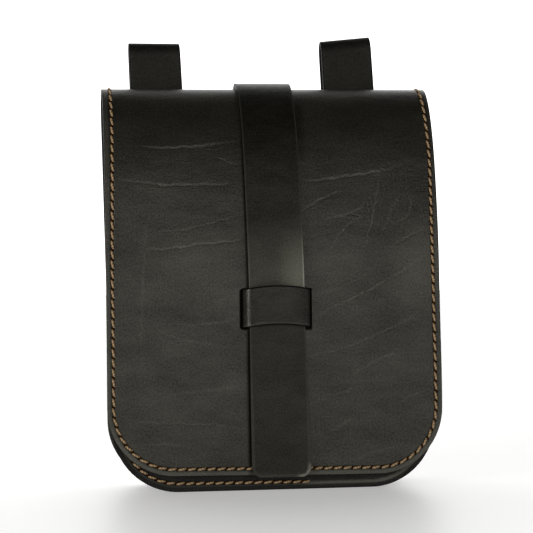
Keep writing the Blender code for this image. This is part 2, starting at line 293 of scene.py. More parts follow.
def half_width(distance):
    """Half the width of the sheet with its corners square."""
    return np.interp(distance, (BACK_END * BACK_TAPER_SHARE, 0.0, FLAP_END),
                     (BODY_WIDTH / 2, FLAP_WIDTH / 2, FLAP_FOOT_WIDTH / 2))


def rounded(half, beyond, radius):
    """A half width that is rounded off where it lies beyond the start of a corner."""
    return half - np.where(beyond > 0, radius - np.sqrt(np.maximum(radius ** 2 - beyond ** 2, 0.0)), 0.0)


def even_rows(start, end, step):
    """Rows from start to end, no further apart than step."""
    return np.linspace(start, end, math.ceil(abs(end - start) / step) + 1)


def corner_rows(end, radius, direction):
    """Rows round the corners of an end, evenly spaced along the arc, from the arc's start to the end."""
    turns = np.linspace(0.0, math.pi / 2, CORNER_STEPS + 1)
    return end - direction * radius * (1 - np.sin(turns))


def leather_piece(name, shares, rows, shape, materials, flip=False):
    """A grid primitive shaped by shape(share, row), which finish_piece makes a leather wall with rounded cut
    edges.

    shape returns each point's place and its place on the flat leather, in metres, which the UV map keeps.
    The materials are the grain side, the flesh side and the cut edge.
    """
    bpy.ops.object.select_all(action="DESELECT")
    bpy.ops.mesh.primitive_grid_add(x_subdivisions=len(shares) - 1, y_subdivisions=len(rows) - 1, size=1.0)
    piece = bpy.context.object
    piece.name = name
    mesh = piece.data
    start = np.empty(3 * len(mesh.vertices))
    mesh.vertices.foreach_get("co", start)
    start = start.reshape(-1, 3)
    column = np.rint((start[:, 0] + 0.5) * (len(shares) - 1)).astype(int)
    line = np.rint((start[:, 1] + 0.5) * (len(rows) - 1)).astype(int)
    placed, flat = shape(np.asarray(shares)[column], np.asarray(rows)[line])
    mesh.vertices.foreach_set("co", placed.ravel())
    add_map(mesh, "Sheet", flat)
    mesh.uv_layers.remove(mesh.uv_layers["UVMap"])
    for material in materials:
        mesh.materials.append(material)
    if flip:
        bpy.ops.object.mode_set(mode="EDIT")
        bpy.ops.mesh.select_all(action="SELECT")
        bpy.ops.mesh.flip_normals()
        bpy.ops.object.mode_set(mode="OBJECT")
    return piece, flat


def finish_piece(piece, thickness, edge_round=EDGE_ROUND):
    """Give a shaped grid its thickness and its rounded edges, and ride it on the pouch."""
    bpy.ops.object.select_all(action="DESELECT")
    piece.select_set(True)
    bpy.context.view_layer.objects.active = piece
    wall = piece.modifiers.new("leather", "SOLIDIFY")
    wall.thickness = thickness
    wall.offset = 0.0
    wall.use_even_offset = True
    wall.material_offset = 1
    wall.material_offset_rim = 2
    bpy.ops.object.modifier_apply(modifier=wall.name)
    edge = piece.modifiers.new("burnished_edge", "BEVEL")
    edge.width = edge_round
    edge.segments = EDGE_SEGMENTS
    edge.limit_method = "ANGLE"
    edge.angle_limit = math.radians(60)
    edge.material = 2
    bpy.ops.object.modifier_apply(modifier=edge.name)
    bpy.ops.object.shade_smooth_by_angle(angle=math.radians(40))
    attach(piece, "root")


def add_map(mesh, name, pairs):
    """A UV map from a pair of numbers for each vertex."""
    corners = np.empty(len(mesh.loops), dtype=int)
    mesh.loops.foreach_get("vertex_index", corners)
    layer = mesh.uv_layers.new(name=name)
    layer.data.foreach_set("uv", pairs[corners].ravel())


def seam_round(half_at, start, end, radius, inset_at):
    """A seam from a start row down one side, round both corners of an end and up the other side.

    It lies inset_at(row, side) within the edge.
    """
    direction = math.copysign(1.0, end)
    straight = end - direction * radius
    rows = even_rows(start, straight, SEAM_STEP)
    turns = np.linspace(0.0, math.pi / 2, SEAM_TURNS)
    line = []
    for side in (-direction, direction):
        side_line = np.stack((side * (half_at(rows) - inset_at(rows, side)), rows), axis=1)
        side_inset = inset_at(straight, side)
        foot_inset = inset_at(end, side)
        reach = radius - side_inset + (side_inset - foot_inset) * turns / (math.pi / 2)
        corner = np.stack((side * (half_at(straight) - radius + reach * np.cos(turns)),
                           straight + direction * reach * np.sin(turns)), axis=1)
        line.append(np.concatenate((side_line[:-1], corner)))
    foot_gap = line[1][-1] - line[0][-1]
    foot_steps = max(2, int(np.hypot(*foot_gap) / SEAM_STEP))
    foot = line[0][-1] + foot_gap * np.linspace(0.0, 1.0, foot_steps)[1:-1, None]
    return np.concatenate((line[0], foot, line[1][::-1]))


def along_and_across(flat, line):
    """How far along a seam each point of the flat leather lies, and how far to its right."""
    points, distances, directions = path_of(line)
    result = np.empty_like(flat)
    for start in range(0, len(flat), POINTS_AT_ONCE):
        end = start + POINTS_AT_ONCE
        part = flat[start:end]
        nearest = np.argmin(((part[:, None, :] - points[None, :, :]) ** 2).sum(axis=2), axis=1)
        gap = part - points[nearest]
        run = directions[nearest]
        result[start:end, 0] = distances[nearest] + (gap * run).sum(axis=1)
        result[start:end, 1] = gap[:, 0] * run[:, 1] - gap[:, 1] * run[:, 0]
    return result


def seam_pitch(line, pitch=STITCH_PITCH):
    """The stitch pitch that divides a seam evenly."""
    length = path_of(line)[1][-1]
    return length / round(length / pitch)


def waxed_leather(name, dark, light, roughness, gloss, grain_mm, patch_mm, pitch=None, creased=False,
                 worn=False, strap_shadow=False):
    """Waxed and rolled cow leather: fine pores, cloudy wax and faint growth lines.

    Wax gives it a dull sheen that is uneven from patch to patch. With a pitch, the material also draws the
    pressed groove and the awl holes of the seam in the piece's Seam map. Creased leather takes its creases
    from the Crease map. With painted highlights, pale patches of painted sheen and a thin pale line of painted
    highlight along a rounded edge are painted on from the Wear map. With a strap shadow, a painted
    shadow lies against the strap's edge, from the Strap map.
    """
    material, tree, shader = new_material(name)
    place = put(tree, "UVMap", {"uv_map": "Sheet"}, {})
    mm = put(tree, "VectorMath", {"operation": "SCALE"}, {0: place, "Scale": 1000.0})
    # Clouds of wax, growth lines, pores and fibre
    rolled = put(tree, "Mapping", {}, {"Vector": mm, "Scale": (0.7, 1.4, 1.0)})
    cloud = put(tree, "TexNoise", {},
                {"Vector": rolled, "Scale": 1 / patch_mm, "Detail": 8.0, "Roughness": 0.68})
    cloud = put(tree, "MapRange", {}, {"Value": cloud, "From Min": 0.32, "From Max": 0.68})
    pull = put(tree, "Mapping", {}, {"Vector": mm, "Rotation": (0.0, 0.0, 0.42), "Scale": (1.0, 4.0, 1.0)})
    growth = put(tree, "TexNoise", {"noise_type": "RIDGED_MULTIFRACTAL", "normalize": True},
                 {"Vector": pull, "Scale": 1 / 34, "Detail": 3.0, "Roughness": 0.4, "Distortion": 0.6})
    growth = put(tree, "MapRange", {}, {"Value": growth, "From Min": 0.55, "From Max": 0.85})
    pores = put(tree, "TexVoronoi", {"feature": "DISTANCE_TO_EDGE"}, {"Vector": mm, "Scale": 1 / grain_mm})
    pores = put(tree, "MapRange", {}, {"Value": pores, "From Min": 0.0, "From Max": 0.16})
    fibre = put(tree, "TexNoise", {},
                {"Vector": mm, "Scale": 0.9 / grain_mm, "Detail": 4.0, "Roughness": 0.7})
    fibre = put(tree, "MapRange", {}, {"Value": fibre, "From Min": 0.36, "From Max": 0.64})
    # One tone sets colour, roughness and shine, so the paler spots are also the shinier ones
    tone = put(tree, "Math", {"operation": "MULTIPLY"}, {0: fibre, 1: 0.50})
    tone = put(tree, "Math", {"operation": "MULTIPLY_ADD"}, {0: growth, 1: 0.12, 2: tone})
    tone = put(tree, "Math", {"operation": "MULTIPLY_ADD"}, {0: cloud, 1: 0.38, 2: tone})
    colour = put(tree, "Mix", {"data_type": "RGBA"}, {0: tone, 6: srgb(dark), 7: srgb(light)})
    rough = put(tree, "MapRange", {}, {"Value": tone, "To Min": roughness - 0.05, "To Max": roughness + 0.05})
    shine = put(tree, "MapRange", {}, {"Value": tone, "To Min": gloss * 0.4, "To Max": gloss * 1.6})
    relief = put(tree, "Math", {"operation": "MULTIPLY_ADD"}, {0: pores, 1: 0.5, 2: fibre})
    bump = put(tree, "Bump", {}, {"Height": relief, "Strength": 0.22, "Distance": 0.00025})
    bump = put(tree, "Bump", {}, {"Height": growth, "Strength": 0.18, "Distance": 0.0004, "Normal": bump})
    bump = put(tree, "Bump", {}, {"Height": cloud, "Strength": 0.16, "Distance": 0.0012, "Normal": bump})
    # Creases wander a little, break off and show paler
    if creased:
        crease = put(tree, "SeparateXYZ", {}, {0: put(tree, "UVMap", {"uv_map": "Crease"}, {})})
        wobble = put(tree, "TexNoise", {}, {"Vector": mm, "Scale": 1 / 9, "Detail": 4.0, "Roughness": 0.6})
        wobble = put(tree, "MapRange", {}, {"Value": wobble, "To Min": -0.0022, "To Max": 0.0022})
        offset = put(tree, "Math", {"operation": "ADD"}, {0: crease.outputs["X"], 1: wobble})
        offset = put(tree, "Math", {"operation": "ABSOLUTE"}, {0: offset})
        fold = put(tree, "MapRange", {"interpolation_type": "SMOOTHSTEP"},
                   {"Value": offset, "From Min": 0.0, "From Max": 0.0012, "To Min": 1.0, "To Max": 0.0})
        fold = put(tree, "Math", {"operation": "MULTIPLY"}, {0: fold, 1: crease.outputs["Y"]})
        broken = put(tree, "TexNoise", {}, {"Vector": mm, "Scale": 1 / 5, "Detail": 3.0})
        broken = put(tree, "MapRange", {}, {"Value": broken, "From Min": 0.35, "From Max": 0.65})
        broken = put(tree, "Math", {"operation": "MULTIPLY_ADD"}, {0: broken, 1: 0.5, 2: fibre})
        fold = put(tree, "Math", {"operation": "MULTIPLY"}, {0: fold, 1: broken})
        colour = put(tree, "Mix", {"data_type": "RGBA"}, {0: fold, 6: colour, 7: srgb("44433C")})
        bump = put(tree, "Bump", {"invert": True},
                   {"Height": fold, "Strength": 0.6, "Distance": 0.0005, "Normal": bump})
    # Painted shadow beside the strap's edge: a nearly black, dull band painted into the colour
    if strap_shadow:
        strap_shadow_map = put(tree, "SeparateXYZ", {}, {0: put(tree, "UVMap", {"uv_map": "Strap"}, {})})
        shadow_beside_strap = put(tree, "Math", {"operation": "ABSOLUTE"}, {0: strap_shadow_map.outputs["X"]})
        shadow_beside_strap = put(tree, "MapRange", {"interpolation_type": "SMOOTHSTEP"},
                       {"Value": shadow_beside_strap, "From Min": 1.0, "From Max": 0.1})
        shadow_beside_strap = put(tree, "Math", {"operation": "MULTIPLY"}, {0: shadow_beside_strap, 1: strap_shadow_map.outputs["Y"]})
        colour = put(tree, "Mix", {"data_type": "RGBA"}, {0: shadow_beside_strap, 6: colour, 7: srgb("030302")})
        shine = put(tree, "MapRange", {}, {"Value": shadow_beside_strap, "To Min": shine, "To Max": 0.0})
    # Painted highlights: pale patches of painted sheen, and a thin pale line painted as the highlight of a
    # rounded edge
    if worn:
        highlight_paint = put(tree, "SeparateXYZ", {}, {0: put(tree, "UVMap", {"uv_map": "Wear"}, {})})
        rubbed = put(tree, "Math", {"operation": "MULTIPLY_ADD"}, {0: fibre, 1: 0.3, 2: 0.85})
        rubbed = put(tree, "Math", {"operation": "MULTIPLY"}, {0: rubbed, 1: highlight_paint.outputs["X"]})
        line = put(tree, "MapRange", {"interpolation_type": "SMOOTHSTEP"},
                   {"Value": highlight_paint.outputs["Y"], "From Min": 0.0019, "From Max": 0.0014})
        edge_line_strength = put(tree, "Math", {"operation": "POWER"}, {0: highlight_paint.outputs["X"], 1: 2.0})
        edge_line_strength = put(tree, "Math", {"operation": "ADD"}, {0: edge_line_strength, 1: 0.06})
        line = put(tree, "Math", {"operation": "MULTIPLY"}, {0: line, 1: edge_line_strength})
        colour = put(tree, "Mix", {"data_type": "RGBA"}, {0: rubbed, 6: colour, 7: srgb("605F54")})
        colour = put(tree, "Mix", {"data_type": "RGBA"}, {0: line, 6: colour, 7: srgb("8C8B80")})
    # The groove of the seam, and slanting awl holes between the stitches
    if pitch:
        seam = put(tree, "SeparateXYZ", {}, {0: put(tree, "UVMap", {"uv_map": "Seam"}, {})})
        away = put(tree, "Math", {"operation": "ABSOLUTE"}, {0: seam.outputs["Y"]})
        groove = put(tree, "MapRange", {"interpolation_type": "SMOOTHSTEP"},
                     {"Value": away, "From Min": 0.0004, "From Max": 0.0013, "To Min": 1.0, "To Max": 0.0})
        leaning = put(tree, "Math", {"operation": "MULTIPLY_ADD"},
                      {0: seam.outputs["Y"], 1: -0.45, 2: seam.outputs["X"]})
        turn = put(tree, "Math", {"operation": "PINGPONG"}, {0: leaning, 1: pitch / 2})
        hole = put(tree, "MapRange", {"interpolation_type": "SMOOTHSTEP"},
                   {"Value": turn, "From Min": 0.0004, "From Max": 0.0008, "To Min": 1.0, "To Max": 0.0})
        near = put(tree, "MapRange", {"interpolation_type": "SMOOTHSTEP"},
                   {"Value": away, "From Min": 0.0007, "From Max": 0.0011, "To Min": 1.0, "To Max": 0.0})
        hole = put(tree, "Math", {"operation": "MULTIPLY"}, {0: hole, 1: near})
        colour = put(tree, "Mix", {"data_type": "RGBA"}, {0: hole, 6: colour, 7: srgb("2E1B08")})
        shine = put(tree, "MapRange", {}, {"Value": hole, "To Min": shine, "To Max": 0.0})
        bump = put(tree, "Bump", {"invert": True},
                   {"Height": groove, "Strength": 0.7, "Distance": 0.0005, "Normal": bump})
        bump = put(tree, "Bump", {"invert": True},
                   {"Height": hole, "Strength": 1.0, "Distance": 0.0006, "Normal": bump})
    tree.links.new(colour.outputs[2], shader.inputs["Base Color"])
    tree.links.new(rough.outputs[0], shader.inputs["Roughness"])
    tree.links.new(shine.outputs[0], shader.inputs["Specular IOR Level"])
    tree.links.new(bump.outputs[0], shader.inputs["Normal"])
    shader.inputs["IOR"].default_value = 1.5
    shader.inputs["Specular Tint"].default_value = srgb("FFFCEE")
    return material


def suede_flesh(name, dark, light):
    """The flesh side of dyed leather: split and sanded fibres, dull, with a slight nap."""
    material, tree, shader = new_material(name)
    place = put(tree, "UVMap", {"uv_map": "Sheet"}, {})
    mm = put(tree, "VectorMath", {"operation": "SCALE"}, {0: place, "Scale": 1000.0})
    nap = put(tree, "TexNoise", {}, {"Vector": mm, "Scale": 1 / 1.4, "Detail": 6.0, "Roughness": 0.7})
    colour = put(tree, "Mix", {"data_type": "RGBA"}, {0: nap, 6: srgb(dark), 7: srgb(light)})
    bump = put(tree, "Bump", {}, {"Height": nap, "Strength": 0.5, "Distance": 0.0004})
    tree.links.new(colour.outputs[2], shader.inputs["Base Color"])
    tree.links.new(bump.outputs[0], shader.inputs["Normal"])
    shader.inputs["Roughness"].default_value = 0.92
    shader.inputs["Sheen Weight"].default_value = 0.25
    return material


def burnished_edge(name, dark, light):
    """A cut edge of leather, dyed black and rubbed smooth: dark and dull, with its layers faintly seen."""
    material, tree, shader = new_material(name)
    place = put(tree, "TexCoord", {}, {})
    mm = put(tree, "VectorMath", {"operation": "SCALE"}, {0: place.outputs["Object"], "Scale": 1000.0})
    layers = put(tree, "TexNoise", {}, {"Vector": mm, "Scale": 1 / 1.8, "Detail": 5.0, "Roughness": 0.6})
    colour = put(tree, "Mix", {"data_type": "RGBA"}, {0: layers, 6: srgb(dark), 7: srgb(light)})
    bump = put(tree, "Bump", {}, {"Height": layers, "Strength": 0.3, "Distance": 0.0003})
    tree.links.new(colour.outputs[2], shader.inputs["Base Color"])
    tree.links.new(bump.outputs[0], shader.inputs["Normal"])
    shader.inputs["Roughness"].default_value = 0.48
    shader.inputs["Specular IOR Level"].default_value = 0.05
    return material


def waxed_thread(name, dark, light):
    """Waxed linen thread in two plies, tan, laid in the stitch with a soft wax shine."""
    material, tree, shader = new_material(name)
    lay = put(tree, "UVMap", {"uv_map": "UVMap"}, {})
    turned = put(tree, "Mapping", {}, {"Vector": lay, "Rotation": (0.0, 0.0, 0.9), "Scale": (2.0, 3.0, 1.0)})
    plies = put(tree, "TexWave", {"wave_type": "BANDS"}, {"Vector": turned, "Scale": 0.6, "Distortion": 0.5})
    colour = put(tree, "Mix", {"data_type": "RGBA"}, {0: plies, 6: srgb(dark), 7: srgb(light)})
    bump = put(tree, "Bump", {}, {"Height": plies, "Strength": 0.5, "Distance": 0.0003})
    tree.links.new(colour.outputs[2], shader.inputs["Base Color"])
    tree.links.new(bump.outputs[0], shader.inputs["Normal"])
    shader.inputs["Roughness"].default_value = 0.62
    return material


def one_stitch():
    """A stitch along X on the leather at z = 0: a plump thread whose two ends dive into their holes."""
    bpy.ops.object.select_all(action="DESELECT")
    bpy.ops.mesh.primitive_uv_sphere_add(segments=8, ring_count=7, radius=0.5,
                                         rotation=(0.0, math.pi / 2, 0.0))
    stitch = bpy.context.object
    bpy.ops.object.transform_apply(location=False, rotation=True, scale=False)
    for corner in stitch.data.vertices:
        reach = 2 * corner.co.x
        plump = 1.0
        if abs(reach) < 0.999:
            plump = (1 - abs(reach) ** 3) ** 0.5 / max((1 - reach ** 2) ** 0.5, 1e-6)
        middle = STITCH_HEIGHT * (STITCH_RISE - STITCH_DIVE * abs(reach) ** 4)
        corner.co = (reach * STITCH_LENGTH / 2, corner.co.y * plump * STITCH_WIDTH,
                     corner.co.z * plump * STITCH_HEIGHT + middle)
    return stitch


def sew(name, line, place, lift, pitch=STITCH_PITCH, under=False):
    """Copies of the stitch along a seam of the flat leather, each laid in place by place(x, row, lift)."""
    points, distances, directions = path_of(line)
    pitch = seam_pitch(line, pitch)
    middles = np.arange(pitch / 2, distances[-1], pitch)
    centre = np.stack([np.interp(middles, distances, points[:, axis]) for axis in range(2)], axis=1)
    run = np.stack([np.interp(middles, distances, directions[:, axis]) for axis in range(2)], axis=1)
    run /= np.hypot(*run.T)[:, None]
    cos, sin = math.cos(STITCH_SLANT), math.sin(STITCH_SLANT)
    run = np.stack((run[:, 0] * cos + run[:, 1] * sin, run[:, 1] * cos - run[:, 0] * sin), axis=1)
    model = STITCH.data
    local = np.empty(3 * len(model.vertices))
    model.vertices.foreach_get("co", local)
    local = local.reshape(-1, 3) * ((1, -1, -1) if under else (1, 1, 1))
    x = centre[:, None, 0] + run[:, None, 0] * local[:, 0] + run[:, None, 1] * local[:, 1]
    row = centre[:, None, 1] + run[:, None, 1] * local[:, 0] - run[:, None, 0] * local[:, 1]
    corners = place(x.ravel(), row.ravel(), (lift + np.tile(local[:, 2], (len(middles), 1))).ravel())
    faces = [[corner + copy * len(local) for corner in face.vertices]
             for copy in range(len(middles)) for face in model.polygons]
    mesh = bpy.data.meshes.new(name)
    mesh.from_pydata(corners.tolist(), [], faces)
    lay = np.empty(2 * len(model.loops))
    model.uv_layers[0].data.foreach_get("uv", lay)
    mesh.uv_layers.new(name="UVMap").data.foreach_set("uv", np.tile(lay, len(middles)))
    mesh.materials.append(THREAD)
    mesh.shade_smooth()
    seam = bpy.data.objects.new(name, mesh)
    bpy.context.scene.collection.objects.link(seam)
    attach(seam, "root")
    return seam


THREAD = waxed_thread("waxed_tan_linen_thread", "74593A", "BFA076")
STITCH = one_stitch()


def flap_inset(row, side):
    """The seam's distance from the edge, which wanders a little on each side as the photo shows."""
    if side < 0:
        return np.interp(row, (-0.02, 0.03, 0.11, FLAP_END), (0.0042, 0.0045, 0.0033, 0.0035))
    return np.interp(row, (-0.02, 0.05, 0.09, 0.13, FLAP_END), (0.0040, 0.0029, 0.0037, 0.0035, 0.0035))


def skewed(x, row):
    """Rows of the flap, skewed as its foot hangs lower on one side."""
    return row + FLAP_SKEW * x * np.maximum(row, 0.0) / FLAP_END


def on_sheet(x, row, lift):
    return on_flap(x, skewed(x, row), lift)


def shape_sheet(share, row):
    beyond = np.where(row < 0, BACK_END + CORNER - row, row - FLAP_END + CORNER)
    x = share * rounded(half_width(row), beyond, CORNER)
    return on_sheet(x, row, 0.0), np.stack((x, row), axis=1)


# The growth creases of the hide on the flap
# x and row of the start, of the middle and of the end in mm, and the depth
CREASES = (
    (15, 63, 44, 60, 76, 53, 0.7), (14, 80, 26, 73, 37, 68, 0.8), (24, 84, 43, 80, 52, 72, 0.6),
    (30, 101, 38, 89, 49, 83, 0.7), (48, 99, 53, 85, 61, 48, 0.7), (58, 91, 64, 80, 70, 70, 0.6),
    (62, 100, 72, 94, 83, 89, 0.8), (20, 136, 52, 121, 82, 103, 1.0), (18, 157, 48, 149, 78, 134, 0.8),
    (21, 180, 32, 178, 44, 174, 0.7), (27, 198, 34, 194, 41, 190, 0.7), (68, 181, 74, 178, 81, 177, 0.7),
    (21, 124, 41, 118, 56, 107, 0.6), (40, 167, 54, 160, 68, 155, 0.4), (34, 214, 52, 209, 73, 203, 0.4),
    (64, 86, 74, 81, 74, 70, 0.6), (-76, 44, -46, 44, -16, 40, 0.7), (-83, 62, -53, 65, -19, 64, 0.7),
    (-32, 49, -25, 52, -19, 54, 0.4), (-75, 101, -46, 98, -17, 95, 0.8), (-65, 90, -41, 88, -19, 81, 0.4),
    (-52, 139, -32, 139, -21, 135, 0.6), (-64, 142, -46, 149, -18, 151, 0.3),
    (-62, 178, -38, 175, -18, 173, 0.4), (-78, 191, -45, 193, -16, 195, 0.7),
    (-74, 204, -60, 203, -47, 204, 0.4), (-66, 70, -71, 121, -72, 172, 0.2),
)


def crease_map(flat):
    """How far each point lies from its nearest crease, with a sign, and how deep that crease is there."""
    share = np.linspace(0.0, 1.0, CREASE_STEPS)[:, None]
    lines = []
    for crease in CREASES:
        first, middle, last = np.reshape(crease[:6], (3, 2)) / 1000
        line = (first * (1 - share) * (1 - 2 * share) + middle * 4 * share * (1 - share)
                + last * share * (2 * share - 1))
        fade = crease[6] * np.minimum(1.0, CREASE_FADE * np.minimum(share, 1 - share))
        lines.append(np.hstack((line, path_of(line)[2], fade)))
    table = np.concatenate(lines)
    result = np.empty_like(flat)
    for start in range(0, len(flat), POINTS_AT_ONCE):
        end = start + POINTS_AT_ONCE
        part = flat[start:end]
        nearest = table[np.argmin(((part[:, None, :] - table[None, :, :2]) ** 2).sum(axis=2), axis=1)]
        gap = part - nearest[:, :2]
        result[start:end, 0] = gap[:, 0] * nearest[:, 3] - gap[:, 1] * nearest[:, 2]
        result[start:end, 1] = nearest[:, 4] * smooth(np.hypot(*gap.T), *CREASE_BAND)
    return result


# Places where the flap is painted a little paler, as painted sheen
# x and row of the middle, reach across and reach down in mm, and the strength
SHEEN_PAINT_PLACES = (
    (78, 110, 22, 34, 0.26), (-44, 106, 52, 36, 0.14), (34, 112, 28, 32, 0.07), (0, 34, 150, 50, 0.05),
)


def rubbed_places(flat):
    """How strongly pale sheen is painted on the flap."""
    total = 0.0
    for x, row, reach_x, reach_row, strength in SHEEN_PAINT_PLACES:
        away = np.hypot((flat[:, 0] * 1000 - x) / reach_x, (flat[:, 1] * 1000 - row) / reach_row)
        total = total + strength * smooth(away, 1.0, 0.0)
    return total


def strap_middle(row):
    """The middle line of the strap, which drifts to one side on its way down the flap."""
    return STRAP_OFFSET + STRAP_DRIFT * np.maximum(row / STRAP_END, 0.0) ** STRAP_DRIFT_BEND


def strap_shadow_paint(flat):
    """How far left of the strap each point lies, in widths of the painted shadow band, and how strong that
    shadow is.
    """
    half = STRAP_WIDTH / 2 + STRAP_FLARE * smooth(flat[:, 1], STRAP_FLARE_START, STRAP_END)
    lower = smooth(flat[:, 1], *STRAP_SHADOW_GROWTH_ROWS)
    widths = (strap_middle(flat[:, 1]) - half - flat[:, 0]) / (STRAP_SHADOW_BAND + STRAP_SHADOW_BAND_GROWTH * lower)
    strength = STRAP_SHADOW_STRENGTH + STRAP_SHADOW_STRENGTH_GROWTH * lower
    return np.stack((widths, smooth(flat[:, 1], *STRAP_SHADOW_ROWS) * strength), axis=1)


flap_seam = seam_round(half_width, 0.0, FLAP_END, CORNER, flap_inset)
back_seam = seam_round(half_width, 0.0, BACK_END, CORNER, flap_inset)
sheet_seam = np.concatenate((flap_seam, back_seam[1:]))
sheet_rows = np.concatenate((corner_rows(BACK_END, CORNER, -1)[::-1],
                             even_rows(BACK_END + CORNER, -FOLD_SPAN, SHEET_STEP)[1:],
                             even_rows(-FOLD_SPAN, FOLD_SPAN, FOLD_STEP)[1:],
                             even_rows(FOLD_SPAN, FLAP_END - CORNER, SHEET_STEP)[1:],
                             corner_rows(FLAP_END, CORNER, 1)[1:]))
sheet_shares = even_rows(-1.0, 1.0, 2 * SHEET_STEP / FLAP_WIDTH)

FLESH = suede_flesh("dyed_suede_flesh_side", "161513", "2A2826")
CUT_EDGE = burnished_edge("dyed_burnished_cut_edge", "050505", "0F0E0C")
# Waxed and rolled: a dull cloudy sheen and growth creases, with painted sheen, painted edge highlights and a
# painted shadow beside the strap
sheet_leather = waxed_leather("waxed_black_cow_leather", "080705", "23221B", 0.34, 0.60, 0.9, 26,
                              pitch=seam_pitch(sheet_seam), creased=True, worn=True, strap_shadow=True)
sheet, sheet_flat = leather_piece("back_and_flap_leather", sheet_shares, sheet_rows, shape_sheet,
                                  (sheet_leather, FLESH, CUT_EDGE), flip=True)
sheet_stitching = along_and_across(sheet_flat, sheet_seam)
from_edge = sheet_stitching[:, 1] + EDGE_MARGIN
# A pale band painted along the flap's edge near its foot: a painted highlight on the rounded edge
near_foot = smooth(sheet_flat[:, 1], FLAP_END - CORNER, FLAP_END - CORNER / 2)
edge_highlight = EDGE_HIGHLIGHT * near_foot * smooth(from_edge, *EDGE_HIGHLIGHT_BAND)
add_map(sheet.data, "Seam", sheet_stitching)
add_map(sheet.data, "Wear", np.stack((edge_highlight + rubbed_places(sheet_flat), from_edge), axis=1))
add_map(sheet.data, "Strap", strap_shadow_paint(sheet_flat))
add_map(sheet.data, "Crease", crease_map(sheet_flat))
finish_piece(sheet, SHEET_LEATHER)
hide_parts("back_and_flap")
sew("flap_and_back_stitches", sheet_seam, on_sheet, SHEET_LEATHER / 2)
sew("flap_stitches_underneath", flap_seam, on_sheet, -SHEET_LEATHER / 2, under=True)


# Front panel
# The front wall of the bag, of the same leather at 2.4 mm. It follows the flap from inside, and its two sides
# and foot are sewn to the gusset with the same tan thread, which sinks in at the right of the foot.
PANEL_LEATHER = 0.0024
GUSSET_LEATHER = 0.0020
KEEPER_LEATHER = 0.0024
SEAM_GAP = 0.0003
MOUTH_BELOW_RIDGE = 0.0320
PANEL_SEAM_INSET = 0.0046
PANEL_SEAM_RIGHT_INSET = 0.0036
# Where the seam sinks in, and the painted highlight line where the panel lies over the gusset's fold
PANEL_SEAM_SINK = 0.0013
PRESSED_X = (0.017, 0.022)
PRESSED_START = 0.030
PRESSED_FULL = 0.020
BULGE_INSET = 0.0034
BULGE_LINE = 0.0007
BULGE_HIGHLIGHT = 0.4
BULGE_HIGHLIGHT_X = (0.0, 0.025)
BULGE_HIGHLIGHT_INNER = (0.0046, 0.0036)
BULGE_HIGHLIGHT_OUTER = (0.0018, 0.0028)
PANEL_LIFT = -(SHEET_LEATHER / 2 + KEEPER_LEATHER + 2 * SEAM_GAP + PANEL_LEATHER / 2)
MOUTH = np.interp(MOUTH_BELOW_RIDGE - HEIGHT, -PROFILE[0][2 * PROFILE_STEPS:, 1],
                  PROFILE[1][2 * PROFILE_STEPS:])


def on_panel(x, row, lift):
    return on_profile(x, row, PANEL_LIFT + lift)


def pressed_in(x, row):
    """How far the seam is pressed in: not at all at the left, and fully at the right of the foot."""
    return smooth(x, *PRESSED_X) * smooth(row, BASE_END - PRESSED_START, BASE_END - PRESSED_FULL)


def on_panel_seam(x, row, lift):
    """The seam of the panel, which is pressed down into the leather at the right of the foot."""
    return on_panel(x, row, lift - PANEL_SEAM_SINK * pressed_in(x, row))


def shape_panel(share, row):
    x = share * rounded(BODY_WIDTH / 2, row - BASE_END + CORNER, CORNER)
    return on_panel(x, row, 0.0), np.stack((x, row), axis=1)


def body_half_width(row):
    return BODY_WIDTH / 2 + 0 * row


def panel_inset(row, side):
    return (PANEL_SEAM_INSET if side < 0 else PANEL_SEAM_RIGHT_INSET) + 0 * row


def edge_distance(flat, width, end, radius):
    """How far points lie from the edge of a strip with rounded corners, near an end."""
    beyond = np.maximum(flat[:, 1] - end + radius, 0.0)
    inward = np.maximum(np.abs(flat[:, 0]) - width / 2 + radius, 0.0)
    return np.minimum(radius - np.hypot(beyond, inward), width / 2 - np.abs(flat[:, 0]))


def panel_highlight_paint(flat):
    """A pale band is painted along the bulge over the gusset's fold, at the right of its foot, as a painted
    highlight.
    """
    from_edge = edge_distance(flat, BODY_WIDTH, BASE_END, CORNER)
    band = smooth(from_edge, *BULGE_HIGHLIGHT_INNER) * smooth(from_edge, *BULGE_HIGHLIGHT_OUTER)
    highlight_paint = BULGE_HIGHLIGHT * smooth(flat[:, 0], *BULGE_HIGHLIGHT_X) * band
    return np.stack((highlight_paint, np.abs(from_edge - BULGE_INSET) + BULGE_LINE), axis=1)


panel_seam = seam_round(body_half_width, MOUTH + PANEL_SEAM_INSET, BASE_END, CORNER, panel_inset)
panel_rows = np.concatenate((even_rows(MOUTH, BASE_END - CORNER, SHEET_STEP),
                             corner_rows(BASE_END, CORNER, 1)[1:]))
# The same leather, painted darker as shade where the flap covers it: nearly black, with little shine
panel_leather_painted_shade = waxed_leather("waxed_black_panel_leather_painted_shade", "060606", "141414", 0.42, 0.22, 0.9, 24,
                              pitch=seam_pitch(panel_seam), worn=True)
panel, panel_flat = leather_piece("front_panel_leather", sheet_shares, panel_rows, shape_panel,
                                  (panel_leather_painted_shade, FLESH, CUT_EDGE), flip=True)
panel_stitching = along_and_across(panel_flat, panel_seam)
hidden_seam = CORNER * pressed_in(panel_flat[:, 0], panel_flat[:, 1])
panel_stitching[:, 1] += np.sign(panel_stitching[:, 1]) * hidden_seam
add_map(panel.data, "Seam", panel_stitching)
add_map(panel.data, "Wear", panel_highlight_paint(panel_flat))
finish_piece(panel, PANEL_LEATHER)
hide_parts("front_panel")
sew("front_panel_stitches", panel_seam, on_panel_seam, PANEL_LEATHER / 2)


